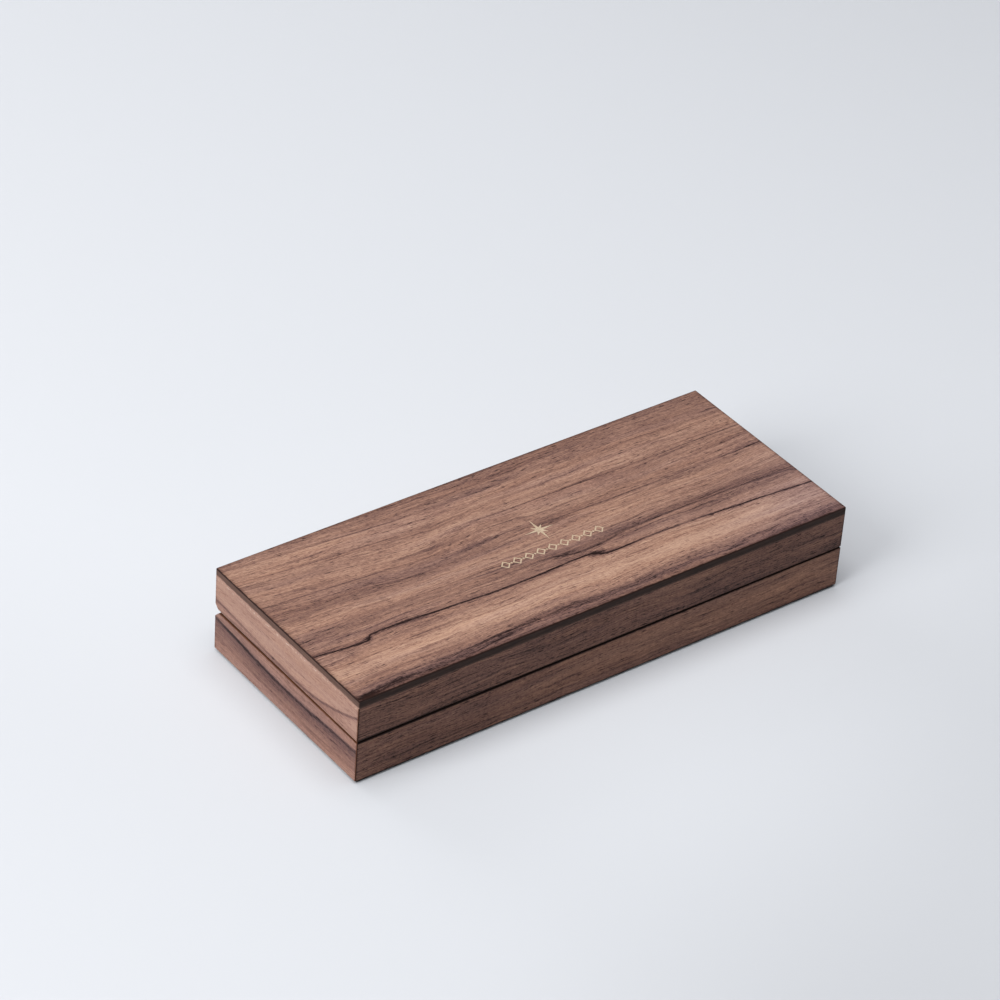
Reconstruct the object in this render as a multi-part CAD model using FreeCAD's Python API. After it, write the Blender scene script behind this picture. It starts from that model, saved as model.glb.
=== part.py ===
import FreeCAD, Part
import math
import os

# A hinged wooden case for two fountain pens, with one STEP file for each sub-part, in parts/.
# Millimetres. The origin is the centre of the underside. +X runs along the length to the right,
# +Y points to the back, where the hinges are, and +Z is up. The lid is drawn closed.

# Driving dimensions of the case
case_length = 195.0
case_width = 80.2
case_height = 32.7
parting_height = 16.4
parting_gap = 0.4
parting_taper = 0.4
felt_thickness = 0.8
felt_inset = 0.6
panel_thickness = 2.5
wall_thickness = 7.0
veneer_thickness = 0.5
arris_radius = 0.4
rear_bevel = 2.5

# Driving dimensions of the lining
liner_thickness = 1.2
liner_setback = 0.25
bed_thickness = 10.85
bed_clearance = 0.2
groove_radius = 7.2
groove_length = 150.0
groove_spacing = 30.0
groove_axis_lift = 0.4
scoop_width = 26.0
scoop_depth = 5.0
scoop_length = 50.0
pad_board_thickness = 1.2
pad_thickness = 4.0
pad_clearance = 0.4

# Driving dimensions of the elastic pen loops
loop_position = 42.0
loop_width = 8.0
loop_thickness = 0.8
loop_half_span = 8.4
loop_rise = 4.2
loop_leg_depth = 2.2
loop_leg_stand = 0.3
slit_clearance = 0.2

# Driving dimensions of the hinges
hinge_position = 58.0
hinge_axis_inset = 2.1
hinge_length = 24.0
knuckle_count = 3
knuckle_gap = 0.15
barrel_radius = 1.5
pin_radius = 0.75
running_clearance = 0.05
leaf_thickness = 0.8
leaf_reach = 4.9
leaf_face_gap = 0.1
leaf_root = 1.0
notch_clearance = 0.25
pocket_clearance = 0.3
mortise_clearance = 0.1
pin_head_radius = 1.1
pin_head_thickness = 0.35

# Driving dimensions of the hinge screws
screw_spacing = 15.0
screw_setback = 3.2
screw_shank_radius = 0.65
screw_head_radius = 1.2
screw_head_depth = 0.55
screw_length = 4.6
screw_slot_width = 0.3
screw_slot_depth = 0.25

# Driving dimensions of the closing magnets
magnet_radius = 2.5
magnet_thickness = 2.0
magnet_stand = 0.15
magnet_position = 72.0
magnet_fit = 0.05

# Driving dimensions of the foil emblem on the lid
foil_thickness = 0.08
foil_recess = 0.1
star_points = 8
star_centre = (3.0, 2.8)
star_long_point = 6.0
star_short_point = 3.1
star_waist = 1.3
chain_centre = (1.1, -7.0)
chain_count = 9
chain_pitch = 4.7
lozenge_half_width = 1.85
lozenge_half_height = 2.0
lozenge_line = 0.62
dot_radius = 0.38

# How far a cutting tool runs past the face that it cuts
overcut = 1.0

# Levels that follow from the driving dimensions
base_top = parting_height - parting_gap / 2
lid_bottom = parting_height + parting_gap / 2
lid_bottom_rear = lid_bottom + parting_taper
base_floor = felt_thickness + panel_thickness
lid_top_panel_top = case_height - veneer_thickness
lid_ceiling = lid_top_panel_top - panel_thickness
bed_top = base_floor + bed_thickness
inner_inset = veneer_thickness + wall_thickness
hinge_axis_y = case_width / 2 - hinge_axis_inset

X = FreeCAD.Vector(1, 0, 0)
Y = FreeCAD.Vector(0, 1, 0)
Z = FreeCAD.Vector(0, 0, 1)
made = {}


def keep(node, shape):
    """Keeps a finished sub-part under the name of its node."""
    made[node] = shape


def block(x0, x1, y0, y1, z0, z1):
    corner = FreeCAD.Vector(x0, y0, z0)
    return Part.makeBox(x1 - x0, y1 - y0, z1 - z0, corner)


def case_block(inset, z0, z1):
    """A block whose sides are all the same distance in from the sides of the case."""
    half_length = case_length / 2 - inset
    half_width = case_width / 2 - inset
    return block(-half_length, half_length, -half_width, half_width, z0, z1)


def prism(points, z0, z1):
    """An upright prism over a list of (x, y) points."""
    corners = [FreeCAD.Vector(x, y, z0) for x, y in points]
    outline = Part.makePolygon(corners + corners[:1])
    return Part.Face(outline).extrude(Z * (z1 - z0))


def rod(radius, length, start, direction=X):
    return Part.makeCylinder(radius, length, FreeCAD.Vector(*start), direction)


def fused(shapes):
    return shapes[0].multiFuse(shapes[1:]).removeSplitter()


def cut_all(shape, tools):
    for tool in tools:
        shape = shape.cut(tool)
    return shape


def over_parting(shape):
    """The mirror image of a shape in the middle plane of the parting gap."""
    return shape.mirror(FreeCAD.Vector(0, 0, parting_height), Z)


def mitred_ring(inset, thickness, z0, z1):
    """Four mitred sides of a rectangular ring, by the name of the side."""
    outer = ring_corners(inset)
    inner = ring_corners(inset + thickness)
    sides = {}
    for index, side in enumerate(["front", "right", "rear", "left"]):
        after = (index + 1) % 4
        outline = [outer[index], outer[after], inner[after], inner[index]]
        sides[side] = prism(outline, z0, z1)
    return sides


def ring_corners(inset):
    x = case_length / 2 - inset
    y = case_width / 2 - inset
    return [(-x, -y), (x, -y), (x, y), (-x, y)]


def along_case(section, past=0):
    """A solid with a section of (y, z) points, as long as the case and as far past each end as asked."""
    start = -case_length / 2 - past
    corners = [FreeCAD.Vector(start, y, z) for y, z in section]
    outline = Part.makePolygon(corners + corners[:1])
    return Part.Face(outline).extrude(X * (case_length + 2 * past))


def base_bevel():
    """The wood that the bevel along the back takes off the top edge of the base."""
    back = case_width / 2
    section = [
        (back - rear_bevel - overcut, base_top + overcut),
        (back + overcut, base_top - rear_bevel - overcut),
        (back + overcut, base_top + overcut),
    ]
    return along_case(section, overcut)


def base_outside():
    """The outside of the base, with small round arrises and the bevel along the back."""
    outside = case_block(0, felt_thickness, base_top)
    return outside.makeFillet(arris_radius, outside.Edges).cut(base_bevel())


def lid_outside():
    """The outside of the lid. Its underside rises a little to the back, where the hinges hold it up."""
    back = case_width / 2
    section = [(-back, lid_bottom), (back, lid_bottom_rear), (back, case_height), (-back, case_height)]
    outside = along_case(section)
    return outside.makeFillet(arris_radius, outside.Edges).cut(over_parting(base_bevel()))


# Hinges. Each is described about its own middle, at x = 0, and then moved into place.


def at_hinge(shape, side):
    """Moves a shape from x = 0 to the left or the right hinge."""
    moved = shape.copy()
    moved.translate(X * (hinge_position if side == "right" else -hinge_position))
    return moved


def on_axis(radius, x0, x1):
    """A round bar along the hinge's axis."""
    return rod(radius, x1 - x0, (x0, hinge_axis_y, parting_height))


def knuckle_span(index):
    """The ends of one knuckle, the gaps to its neighbours taken off."""
    pitch = hinge_length / knuckle_count
    start = -hinge_length / 2 + index * pitch
    first = start + (knuckle_gap / 2 if index > 0 else 0)
    last = start + pitch - (knuckle_gap / 2 if index < knuckle_count - 1 else 0)
    return first, last


def screw_places():
    y = hinge_axis_y - screw_setback
    return [(-screw_spacing / 2, y), (screw_spacing / 2, y)]


def hinge_leaf(own_knuckles, bore_radius):
    """A leaf with its knuckles, as it lies on the base: face up, just under the parting plane."""
    face = parting_height - leaf_face_gap
    back_of_leaf = face - leaf_thickness
    half = hinge_length / 2
    plate = block(
        -half, half, hinge_axis_y - leaf_reach, hinge_axis_y - leaf_root, back_of_leaf, face
    )
    notches = []
    tubes = []
    bores = []
    for index in range(knuckle_count):
        first, last = knuckle_span(index)
        if index in own_knuckles:
            tubes.append(on_axis(barrel_radius, first, last))
            bores.append(on_axis(bore_radius, first - overcut, last + overcut))
        else:
            notch_radius = barrel_radius + notch_clearance
            notches.append(on_axis(notch_radius, first - knuckle_gap, last + knuckle_gap))
    plate = cut_all(plate, notches)
    leaf = cut_all(fused([plate] + tubes), bores)
    return cut_all(leaf, [screw_hole(x, y, face) for x, y in screw_places()])


def screw_hole(x, y, face):
    """A countersunk hole, a little wider all round than the screw."""
    room = running_clearance
    cone = Part.makeCone(
        screw_shank_radius + room,
        screw_head_radius + room,
        screw_head_depth,
        FreeCAD.Vector(x, y, face - screw_head_depth),
        Z,
    )
    bore_start = face - leaf_thickness - overcut
    bore = rod(screw_shank_radius + room, face - bore_start, (x, y, bore_start), Z)
    return fused([cone, bore])


def hinge_screw(x, y):
    """A slotted countersunk screw, its head just under the face of the leaf."""
    top = parting_height - leaf_face_gap - running_clearance
    head = Part.makeCone(
        screw_shank_radius,
        screw_head_radius,
        screw_head_depth,
        FreeCAD.Vector(x, y, top - screw_head_depth),
        Z,
    )
    shank = rod(screw_shank_radius, screw_length - screw_head_depth, (x, y, top - screw_length), Z)
    slot = block(
        x - screw_head_radius,
        x + screw_head_radius,
        y - screw_slot_width / 2,
        y + screw_slot_width / 2,
        top - screw_slot_depth,
        top + overcut,
    )
    return fused([head, shank]).cut(slot)


def hinge_pin():
    half = hinge_length / 2 + running_clearance
    heads = [
        on_axis(pin_head_radius, -half - pin_head_thickness, -half),
        on_axis(pin_head_radius, half, half + pin_head_thickness),
    ]
    return fused([on_axis(pin_radius, -half, half)] + heads)


def hinge_recess():
    """What one hinge takes out of the base's rear wall: mortise, barrel pocket and screw holes."""
    floor = parting_height - leaf_face_gap - leaf_thickness
    half = hinge_length / 2 + mortise_clearance
    back = case_width / 2
    front = hinge_axis_y - leaf_reach - mortise_clearance
    mortise = block(-half, half, front, back, floor, base_top + overcut)
    pocket_half = hinge_length / 2 + pin_head_thickness + pocket_clearance
    pocket = on_axis(barrel_radius + pocket_clearance, -pocket_half, pocket_half)
    top = parting_height - leaf_face_gap - running_clearance
    holes = []
    for x, y in screw_places():
        holes.append(rod(screw_shank_radius, screw_length, (x, y, top - screw_length), Z))
    return [mortise, pocket] + holes


def hinge_recesses():
    tools = []
    for side in ["left", "right"]:
        tools += [at_hinge(tool, side) for tool in hinge_recess()]
    return tools


def make_hinges():
    base_knuckles = [index for index in range(knuckle_count) if index % 2 == 1]
    lid_knuckles = [index for index in range(knuckle_count) if index % 2 == 0]
    base_leaf = hinge_leaf(base_knuckles, pin_radius)
    lid_leaf = over_parting(hinge_leaf(lid_knuckles, pin_radius + running_clearance))
    screws = []
    for side in ["left", "right"]:
        keep("hinge_base_leaf_" + side, at_hinge(base_leaf, side))
        keep("hinge_lid_leaf_" + side, at_hinge(lid_leaf, side))
        keep("hinge_pin_" + side, at_hinge(hinge_pin(), side))
        for x, y in screw_places():
            screws.append(at_hinge(hinge_screw(x, y), side))
    keep("hinge_base_screws", Part.makeCompound(screws))
    keep("hinge_lid_screws", Part.makeCompound([over_parting(screw) for screw in screws]))


# Closing magnets, in the middle of the front walls


def magnet_bars(radius):
    """Round bars for the base's magnets or, a little wider, for the bores that they are glued in."""
    y = -(case_width / 2 - veneer_thickness - wall_thickness / 2)
    bottom = base_top + magnet_stand - magnet_thickness
    return [
        rod(radius, magnet_thickness, (x, y, bottom), Z) for x in (-magnet_position, magnet_position)
    ]


def make_magnets():
    magnets = magnet_bars(magnet_radius)
    keep("base_magnets", Part.makeCompound(magnets))
    keep("lid_magnets", Part.makeCompound([over_parting(magnet) for magnet in magnets]))


# The two halves of the case


def make_base():
    outside = base_outside()
    keep("base_foot_felt", case_block(felt_inset, 0, felt_thickness))
    keep("base_bottom_panel", case_block(veneer_thickness, felt_thickness, base_floor))
    walls = mitred_ring(veneer_thickness, wall_thickness, base_floor, base_top)
    for side, wall in walls.items():
        wall = wall.common(outside)
        if side == "rear":
            wall = cut_all(wall, hinge_recesses())
        if side == "front":
            wall = cut_all(wall, magnet_bars(magnet_radius + magnet_fit))
        keep("base_" + side + "_wall", wall)
    for side, sheet in mitred_ring(0, veneer_thickness, felt_thickness, base_top).items():
        keep("base_" + side + "_veneer", sheet.common(outside))
    liners = mitred_ring(inner_inset, liner_thickness, base_floor, base_top - liner_setback)
    for side, liner in liners.items():
        keep("base_liner_" + side, liner)


def make_lid():
    outside = lid_outside()
    walls = mitred_ring(veneer_thickness, wall_thickness, lid_bottom, lid_ceiling)
    for side, wall in walls.items():
        wall = wall.common(outside)
        if side == "rear":
            wall = cut_all(wall, [over_parting(tool) for tool in hinge_recesses()])
        if side == "front":
            bores = magnet_bars(magnet_radius + magnet_fit)
            wall = cut_all(wall, [over_parting(bore) for bore in bores])
        keep("lid_" + side + "_wall", wall)
    for side, sheet in mitred_ring(0, veneer_thickness, lid_bottom, lid_ceiling).items():
        keep("lid_" + side + "_veneer", sheet.common(outside))
    keep("lid_top_panel", case_block(0, lid_ceiling, lid_top_panel_top).common(outside))
    sheet = case_block(0, lid_top_panel_top, case_height).common(outside)
    foil_bottom = case_height - foil_recess
    recesses = emblem_solids(foil_bottom, case_height + overcut)
    keep("lid_top_veneer", cut_all(sheet, recesses))
    keep("lid_emblem", Part.makeCompound(emblem_solids(foil_bottom, foil_bottom + foil_thickness)))
    liners = mitred_ring(inner_inset, liner_thickness, lid_bottom_rear + liner_setback, lid_ceiling)
    for side, liner in liners.items():
        keep("lid_liner_" + side, liner)
    board_inset = inner_inset + liner_thickness + pad_clearance
    board_bottom = lid_ceiling - pad_board_thickness
    keep("lid_pad_board", case_block(board_inset, board_bottom, lid_ceiling))
    keep("lid_pad", case_block(board_inset + pad_clearance, board_bottom - pad_thickness, board_bottom))


# The emblem: an eight-pointed compass star over a chain of open lozenges and dots


def star_outline():
    """Long and short points by turns, with a waist between each two."""
    radii = [star_long_point, star_waist, star_short_point, star_waist]
    points = []
    for index in range(2 * star_points):
        radius = radii[index % len(radii)]
        angle = math.pi * index / star_points
        x = star_centre[0] + radius * math.cos(angle)
        y = star_centre[1] + radius * math.sin(angle)
        points.append((x, y))
    return points


def lozenge_outline(x, y, half_width, half_height):
    return [(x + half_width, y), (x, y + half_height), (x - half_width, y), (x, y - half_height)]


def emblem_solids(z0, z1):
    solids = [prism(star_outline(), z0, z1)]
    centre_x, centre_y = chain_centre
    inner_width = lozenge_half_width - lozenge_line
    inner_height = inner_width * lozenge_half_height / lozenge_half_width
    for index in range(chain_count):
        x = centre_x + (index - (chain_count - 1) / 2) * chain_pitch
        outer = lozenge_outline(x, centre_y, lozenge_half_width, lozenge_half_height)
        inner = lozenge_outline(x, centre_y, inner_width, inner_height)
        hole = prism(inner, z0 - overcut, z1 + overcut)
        solids.append(prism(outer, z0, z1).cut(hole))
        if index < chain_count - 1:
            solids.append(rod(dot_radius, z1 - z0, (x + chain_pitch / 2, centre_y, z0), Z))
    return solids


# The lining of the base: a soft bed with a groove for each pen, and an elastic loop over each groove


def groove_rows():
    return {"front": -groove_spacing / 2, "rear": groove_spacing / 2}


def groove_hollow(y):
    """A round-ended bar in the place of a pen."""
    z = bed_top + groove_axis_lift
    half = groove_length / 2 - groove_radius
    bar = rod(groove_radius, 2 * half, (-half, y, z))
    ends = [Part.makeSphere(groove_radius, FreeCAD.Vector(x, y, z)) for x in (-half, half)]
    return fused([bar] + ends)


def finger_scoop():
    """A shallow round hollow across both grooves, where fingers reach under the pens."""
    radius = ((scoop_width / 2) ** 2 + scoop_depth**2) / (2 * scoop_depth)
    z = bed_top - scoop_depth + radius
    return rod(radius, scoop_length, (0, -scoop_length / 2, z), Y)


def loop_leg(y, side, room=0):
    """A leg of an elastic loop or, with some room round it, the slit that the leg is pushed into."""
    middle = y + side * (loop_half_span + loop_thickness / 2)
    half_x = loop_width / 2 + room
    half_y = loop_thickness / 2 + room
    return block(
        loop_position - half_x,
        loop_position + half_x,
        middle - half_y,
        middle + half_y,
        bed_top - loop_leg_depth - room,
        bed_top + loop_leg_stand,
    )


def make_bed():
    inset = inner_inset + liner_thickness + bed_clearance
    bed = case_block(inset, base_floor, bed_top)
    bed = bed.cut(finger_scoop())
    for y in groove_rows().values():
        bed = bed.cut(groove_hollow(y))
        for side in (-1, 1):
            bed = bed.cut(loop_leg(y, side, slit_clearance))
    keep("pen_bed", bed)


def make_loops():
    inner_radius = (loop_half_span**2 + loop_rise**2) / (2 * loop_rise)
    axis_z = bed_top + loop_rise - inner_radius
    start = loop_position - loop_width / 2
    far = 2 * inner_radius
    for row, y in groove_rows().items():
        outer = rod(inner_radius + loop_thickness, loop_width, (start, y, axis_z))
        inner = rod(inner_radius, loop_width, (start, y, axis_z))
        above = block(start, start + loop_width, y - far, y + far, bed_top, bed_top + far)
        legs = [loop_leg(y, side) for side in (-1, 1)]
        keep("pen_loop_" + row, fused([outer.cut(inner).common(above)] + legs))


def export_all():
    os.makedirs("parts", exist_ok=True)
    for node, shape in made.items():
        shape.exportStep("parts/" + node + ".step")


make_base()
make_lid()
make_hinges()
make_magnets()
make_bed()
make_loops()
export_all()
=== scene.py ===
import math

import bpy
import numpy as np
from mathutils import Matrix, Vector


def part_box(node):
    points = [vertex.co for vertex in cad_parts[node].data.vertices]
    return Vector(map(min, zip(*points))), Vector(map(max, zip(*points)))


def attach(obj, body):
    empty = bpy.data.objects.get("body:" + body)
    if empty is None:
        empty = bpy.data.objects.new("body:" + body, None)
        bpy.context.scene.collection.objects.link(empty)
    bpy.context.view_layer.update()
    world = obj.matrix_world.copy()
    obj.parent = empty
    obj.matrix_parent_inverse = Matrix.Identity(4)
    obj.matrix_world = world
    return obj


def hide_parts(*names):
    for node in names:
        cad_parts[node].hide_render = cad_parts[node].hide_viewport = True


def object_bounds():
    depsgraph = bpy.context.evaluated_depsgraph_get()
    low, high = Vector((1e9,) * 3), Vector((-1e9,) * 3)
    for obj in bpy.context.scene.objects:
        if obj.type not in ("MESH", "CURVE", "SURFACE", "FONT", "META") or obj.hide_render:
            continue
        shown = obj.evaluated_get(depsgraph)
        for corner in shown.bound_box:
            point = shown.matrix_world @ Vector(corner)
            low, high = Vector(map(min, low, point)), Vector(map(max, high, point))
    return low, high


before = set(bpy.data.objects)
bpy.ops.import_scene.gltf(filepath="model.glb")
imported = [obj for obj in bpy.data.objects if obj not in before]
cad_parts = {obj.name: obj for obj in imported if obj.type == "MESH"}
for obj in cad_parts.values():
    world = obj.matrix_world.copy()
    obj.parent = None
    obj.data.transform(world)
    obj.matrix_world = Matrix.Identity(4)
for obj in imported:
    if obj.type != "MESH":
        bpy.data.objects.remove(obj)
cad_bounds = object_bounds()

MM = 0.001
SIDES = ("front", "rear", "left", "right")
HALF_LENGTH, HALF_WIDTH = cad_bounds[1].x / MM, cad_bounds[1].y / MM
PANEL_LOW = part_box("lid_top_panel")[0].z / MM
LID_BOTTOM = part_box("lid_front_veneer")[0].z / MM
BASE_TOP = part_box("base_front_veneer")[1].z / MM
BASE_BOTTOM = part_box("base_front_veneer")[0].z / MM

scene = bpy.context.scene
scene.view_settings.view_transform = "Standard"


# ---- node building -------------------------------------------------------------------------------

class Surface:
    """One material and the nodes in it. x, y and z are places in the shared frame, in millimetres."""

    def __init__(self, name, **values):
        self.material = bpy.data.materials.new(name)
        self.material.use_nodes = True
        self.tree = self.material.node_tree
        self.shader = self.tree.nodes["Principled BSDF"]
        for key, value in values.items():
            self.shader.inputs[key.replace("_", " ")].default_value = value
        place = self.tree.nodes.new("ShaderNodeTexCoord").outputs["Object"]
        scaled = self.node("VectorMath", {0: place, 3: 1 / MM}, operation="SCALE").outputs[0]
        parts = self.node("SeparateXYZ", {0: scaled}).outputs
        self.x, self.y, self.z = parts

    def put(self, socket, value):
        if isinstance(value, bpy.types.NodeSocket):
            self.tree.links.new(value, socket)
        else:
            socket.default_value = value

    def node(self, kind, inputs=(), **settings):
        made = self.tree.nodes.new("ShaderNode" + kind)
        for key, value in settings.items():
            setattr(made, key, value)
        for key, value in dict(inputs).items():
            self.put(made.inputs[key], value)
        return made

    def set(self, socket, value):
        self.put(self.shader.inputs[socket], value)

    def math(self, operation, *values):
        return self.node("Math", enumerate(values), operation=operation).outputs[0]

    def add(self, *values):
        total = values[0]
        for value in values[1:]:
            total = self.math("ADD", total, value)
        return total

    def times(self, *values):
        total = values[0]
        for value in values[1:]:
            total = self.math("MULTIPLY", total, value)
        return total

    def less(self, a, b):
        return self.math("SUBTRACT", a, b)

    def smooth(self, value, low, high, to_low=0.0, to_high=1.0):
        """A soft step from to_low at low to to_high at high."""
        inputs = {0: value, 1: low, 2: high, 3: to_low, 4: to_high}
        return self.node("MapRange", inputs, interpolation_type="SMOOTHSTEP").outputs[0]

    def noise(self, x, y, z=0.0, detail=2.0, rough=0.5, bend=0.0):
        """Noise from 0 to 1 whose grain is one unit of x, y and z."""
        place = self.node("CombineXYZ", {0: x, 1: y, 2: z}).outputs[0]
        inputs = {"Vector": place, "Scale": 1.0, "Detail": detail, "Roughness": rough, "Distortion": bend}
        return self.node("TexNoise", inputs).outputs[0]

    def cloud(self, rate_x, rate_y, rate_z, **options):
        """Noise in space, with its own rate along each axis."""
        x, y, z = self.times(self.x, rate_x), self.times(self.y, rate_y), self.times(self.z, rate_z)
        return self.noise(x, y, z, **options)

    def swing(self, noise, amount):
        """Noise about its middle, so that it swings both ways."""
        inputs = {0: noise, 1: 0.25, 2: 0.75, 3: -amount, 4: amount}
        return self.node("MapRange", inputs, clamp=False).outputs[0]

    def curve(self, value, points):
        """A smooth line through (value, result) points, which are in order of value."""
        low, high = points[0][0], points[-1][0]
        bottom = min(p[1] for p in points)
        top = max(p[1] for p in points) + 1e-6
        unit = self.node("MapRange", {0: value, 1: low, 2: high}).outputs[0]
        made = self.node("FloatCurve", {1: unit})
        line = made.mapping.curves[0]
        places = [((a - low) / (high - low), (b - bottom) / (top - bottom)) for a, b in points]
        line.points[0].location = places[0]
        line.points[1].location = places[-1]
        for place in places[1:-1]:
            line.points.new(*place)
        for point in line.points:
            point.handle_type = "AUTO"
        made.mapping.update()
        return self.add(self.times(made.outputs[0], top - bottom), bottom)

    def ramp(self, value, stops):
        made = self.node("ValToRGB", {0: value})
        elements = made.color_ramp.elements
        elements.remove(elements[0])
        elements[0].position = stops[0][0]
        elements[0].color = (*stops[0][1], 1)
        for place, colour in stops[1:]:
            elements.new(place).color = (*colour, 1)
        return made.outputs[0]

    def mix(self, factor, a, b, blend="MIX"):
        inputs = {0: factor, 6: a, 7: b}
        return self.node("Mix", inputs, data_type="RGBA", blend_type=blend).outputs[2]

    def tinted(self, colour, red, green, blue):
        """A colour times a share of red, green and blue."""
        return self.mix(1.0, colour, (red, green, blue, 1), "MULTIPLY")

    def bump(self, height, distance, strength=1.0):
        inputs = {"Height": height, "Distance": distance * MM, "Strength": strength}
        self.set("Normal", self.node("Bump", inputs).outputs[0])


def rgb(red, green, blue):
    """An 8-bit screen colour as a linear one."""
    return tuple(c / 3294.6 if c <= 10 else ((c / 255 + 0.055) / 1.055) ** 2.4 for c in (red, green, blue))


def rgba(red, green, blue):
    return (*rgb(red, green, blue), 1)


# ---- walnut --------------------------------------------------------------------------------------

WOOD_SHINE = 0.06
# The wood's colour for each level of tone, from the darkest vein to the palest band.
WALNUT = (
    (0.00, rgb(32, 19, 17)), (0.10, rgb(48, 34, 33)), (0.22, rgb(79, 60, 57)), (0.36, rgb(105, 79, 73)),
    (0.50, rgb(125, 96, 85)), (0.62, rgb(143, 111, 97)), (0.74, rgb(157, 126, 109)),
    (1.00, rgb(182, 150, 130)),
)
ARRIS_BROWN = rgba(60, 32, 23)
TOP_ARRIS = rgba(45, 30, 26)
# Near black: the sides' dark edge stain with painted shade in it.
ARRIS_BLACK_STAIN_AND_SHADE = rgba(27, 16, 13)
RUBBED_BROWN = rgba(104, 66, 47)
# The top's left profile gives way to its right one between these places along the case.
BLEND_START, BLEND_END = -60.0, 45.0


def blotch(s, along, across, centre, reach, depth):
    """A soft dark patch, stretched along the grain."""
    a = s.times(s.less(along, centre[0]), 1 / reach[0])
    b = s.times(s.less(across, centre[1]), 1 / reach[1])
    away = s.math("SQRT", s.add(s.times(a, a), s.times(b, b)))
    ragged = s.swing(s.noise(s.times(along, 0.4), s.times(across, 1.6), 9.0, detail=3), 0.35)
    return s.smooth(s.add(away, ragged), 0.1, 1.15, depth, 0.0)


def vein(s, along, across, points, width, depth, above=0.0, below=0.0, halo=0.0, fade=None):
    """How much darker a vein makes the wood: a thin core with a softer halo on each side."""
    off = s.less(across, s.curve(along, points))
    ragged = s.swing(s.noise(s.times(along, 0.5), s.times(across, 3.0), 7.0, detail=3), 0.35)
    reach = s.times(s.math("ABSOLUTE", off), s.add(ragged, 1.0))
    dark = s.smooth(reach, width * 0.2, width, depth, 0.0)
    if halo:
        side = s.math("MAXIMUM", s.times(off, 1 / max(above, 0.01)), s.times(off, -1 / max(below, 0.01)))
        dark = s.math("MAXIMUM", dark, s.smooth(side, 0.0, 1.0, halo, 0.0))
    if fade:
        dark = s.times(dark, s.curve(along, fade))
    return dark


def walnut(name, along, across, bands, veins=(), blotches=(), drift=None, seed=0.0, contrast=1.0, tone=0.0,
           tint=None, edge=None):
    """Oiled walnut veneer. along and across name the axes that the grain runs in and across. bands holds
    one (across, tone) profile, or one for the left end and one for the right. veins are the dark lines."""
    s = Surface(name)
    u, v = getattr(s, along), getattr(s, across)

    def grain(place, rate, cross_rate, offset, **options):
        """Noise at one rate along the grain and another across it."""
        return s.noise(s.times(u, rate), s.times(place, cross_rate), seed + offset, **options)

    wander = s.swing(grain(v, 0.022, 0.05, 0, detail=1), 1.3)
    wiggle = s.swing(grain(v, 0.11, 0.22, 3, detail=1), 0.28)
    line = s.add(v, wander, wiggle)
    if drift:
        line = s.add(line, drift(s, u, v))

    level = s.curve(line, bands[0])
    if len(bands) > 1:
        share = s.smooth(u, BLEND_START, BLEND_END)
        level = s.add(s.times(level, s.less(1.0, share)), s.times(s.curve(line, bands[1]), share))

    broad = s.swing(grain(line, 0.010, 0.42, 11, detail=3, rough=0.6), 0.06 * contrast)
    rings = s.swing(grain(line, 0.020, 1.2, 17, rough=0.6), 0.10 * contrast)
    streaks = s.swing(grain(line, 0.09, 3.0, 23, rough=0.6), 0.115 * contrast)
    fibres = s.swing(grain(line, 0.55, 4.2, 29, rough=0.7), 0.15 * contrast)
    mottle = s.swing(grain(v, 0.06, 0.13, 31, detail=3), 0.05)
    ripple = s.swing(grain(line, 1.1, 0.5, 37, detail=1), 0.035)

    # The dark line that ends each growth ring is sharp on one side and fades on the other.
    saw = s.math("FRACT", s.add(s.times(line, 0.21), s.swing(grain(line, 0.012, 0.2, 41), 0.9)))
    late = s.times(s.smooth(saw, 0.62, 0.99), s.smooth(saw, 0.99, 1.0, 1.0, 0.0))
    patchy = s.smooth(grain(line, 0.035, 0.3, 43), 0.42, 0.62)

    # Pores show as short dark dashes along the grain, thicker in some rows than others.
    crowd = s.times(grain(line, 0.02, 0.7, 47), -0.34)
    pores = s.smooth(grain(line, 0.24, 2.7, 53, detail=1), s.add(0.78, crowd), s.add(0.87, crowd))
    pits = s.smooth(grain(line, 0.8, 3.6, 59, detail=1), 0.56, 0.68)

    darker = [s.times(late, patchy, 0.17 * contrast)]
    darker += [s.times(pores, 0.27 * contrast), s.times(pits, 0.15 * contrast)]
    darker += [vein(s, u, v, **spec) for spec in veins]
    darker += [blotch(s, u, v, *spec) for spec in blotches]
    level = s.add(level, tone, broad, rings, streaks, fibres, mottle, ripple)
    level = s.math("MAXIMUM", s.less(level, s.add(*darker)), 0.0)

    colour = s.ramp(level, WALNUT)
    warm = s.smooth(grain(line, 0.02, 0.25, 61), 0.35, 0.7, 0.0, 0.3)
    colour = s.mix(warm, colour, s.tinted(colour, 1.07, 0.98, 0.90))
    grey = s.smooth(grain(line, 0.015, 0.2, 67, detail=1), 0.45, 0.7, 0.0, 0.5)
    colour = s.mix(grey, colour, s.tinted(colour, 0.94, 0.97, 1.06))
    for change in (tint, edge):
        if change:
            colour = change(s, colour)
    s.set("Base Color", colour)
    s.set("Specular IOR Level", WOOD_SHINE)
    s.set("Roughness", s.add(0.4, s.times(pores, 0.2), s.times(broad, 0.2)))
    relief = s.add(s.times(fibres, 0.5), s.times(pores, -0.8), s.times(pits, -0.2), s.times(streaks, 0.3))
    s.bump(relief, 0.05, 0.6)
    return s.material


def top_drift(s, u, v):
    """The grain of the lid's top comes down towards the front as it runs from left to right."""
    rear = s.curve(u, ((-97.5, 0.0), (-60.0, 3.9), (-35.0, 6.1), (-10.0, 6.5), (97.5, 6.8)))
    front = s.times(s.add(u, 97.5), 0.008)
    share = s.smooth(v, -14.0, 6.0)
    return s.add(s.times(rear, share), s.times(front, s.less(1.0, share)))


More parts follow.
